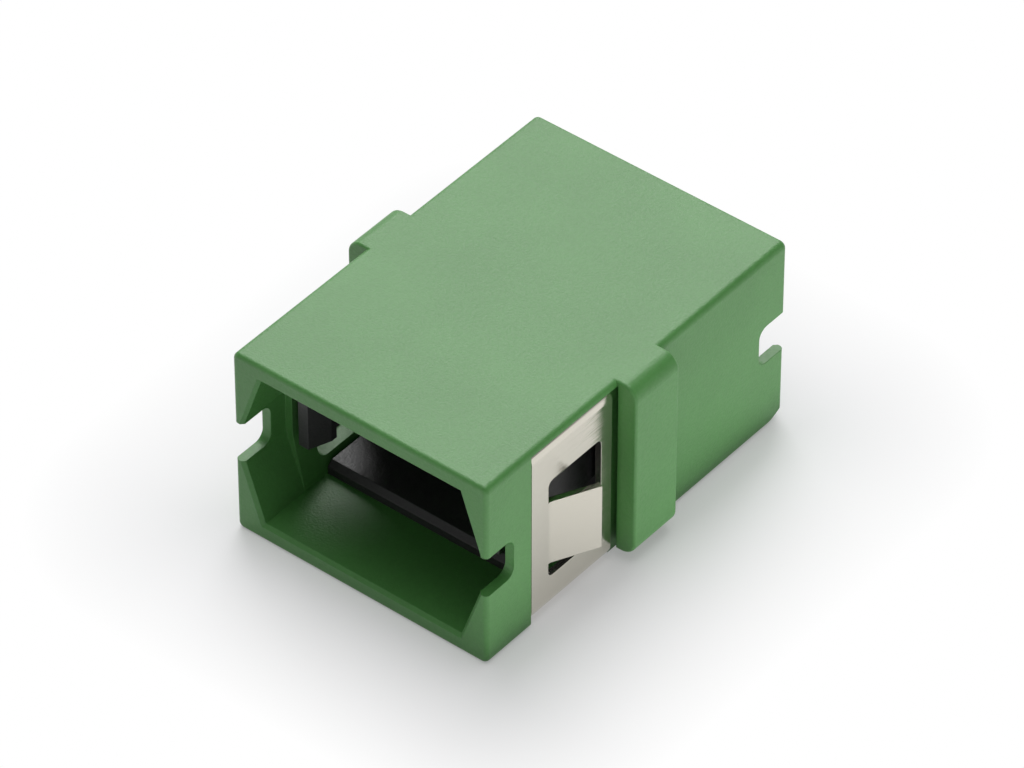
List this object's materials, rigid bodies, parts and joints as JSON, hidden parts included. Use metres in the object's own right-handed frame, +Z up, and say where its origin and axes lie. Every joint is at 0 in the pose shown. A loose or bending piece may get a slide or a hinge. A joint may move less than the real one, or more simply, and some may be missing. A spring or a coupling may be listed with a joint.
{
  "type": "multi-fibre adapter",
  "caption": "Green panel adapter that joins flat multi-fibre plugs end to end, with side flange ribs, open octagonal ports, inner latch hooks and a steel snap-in clip.",
  "frame": {"origin": "on the underside, below the middle of the housing", "axes": "+X along the plugs, from the clip end to the plain end; +Y across the adapter; +Z up"},
  "size_m": [0.0192, 0.015, 0.0093],
  "materials": {
    "green_plastic": "satin moulded",
    "black_plastic": "satin moulded",
    "spring_steel": "rolled satin"
  },
  "bodies": {
    "root": {"housing": "green_plastic", "left_insert": "black_plastic", "right_insert": "black_plastic", "panel_clip": "spring_steel"}
  },
  "joints": []
}
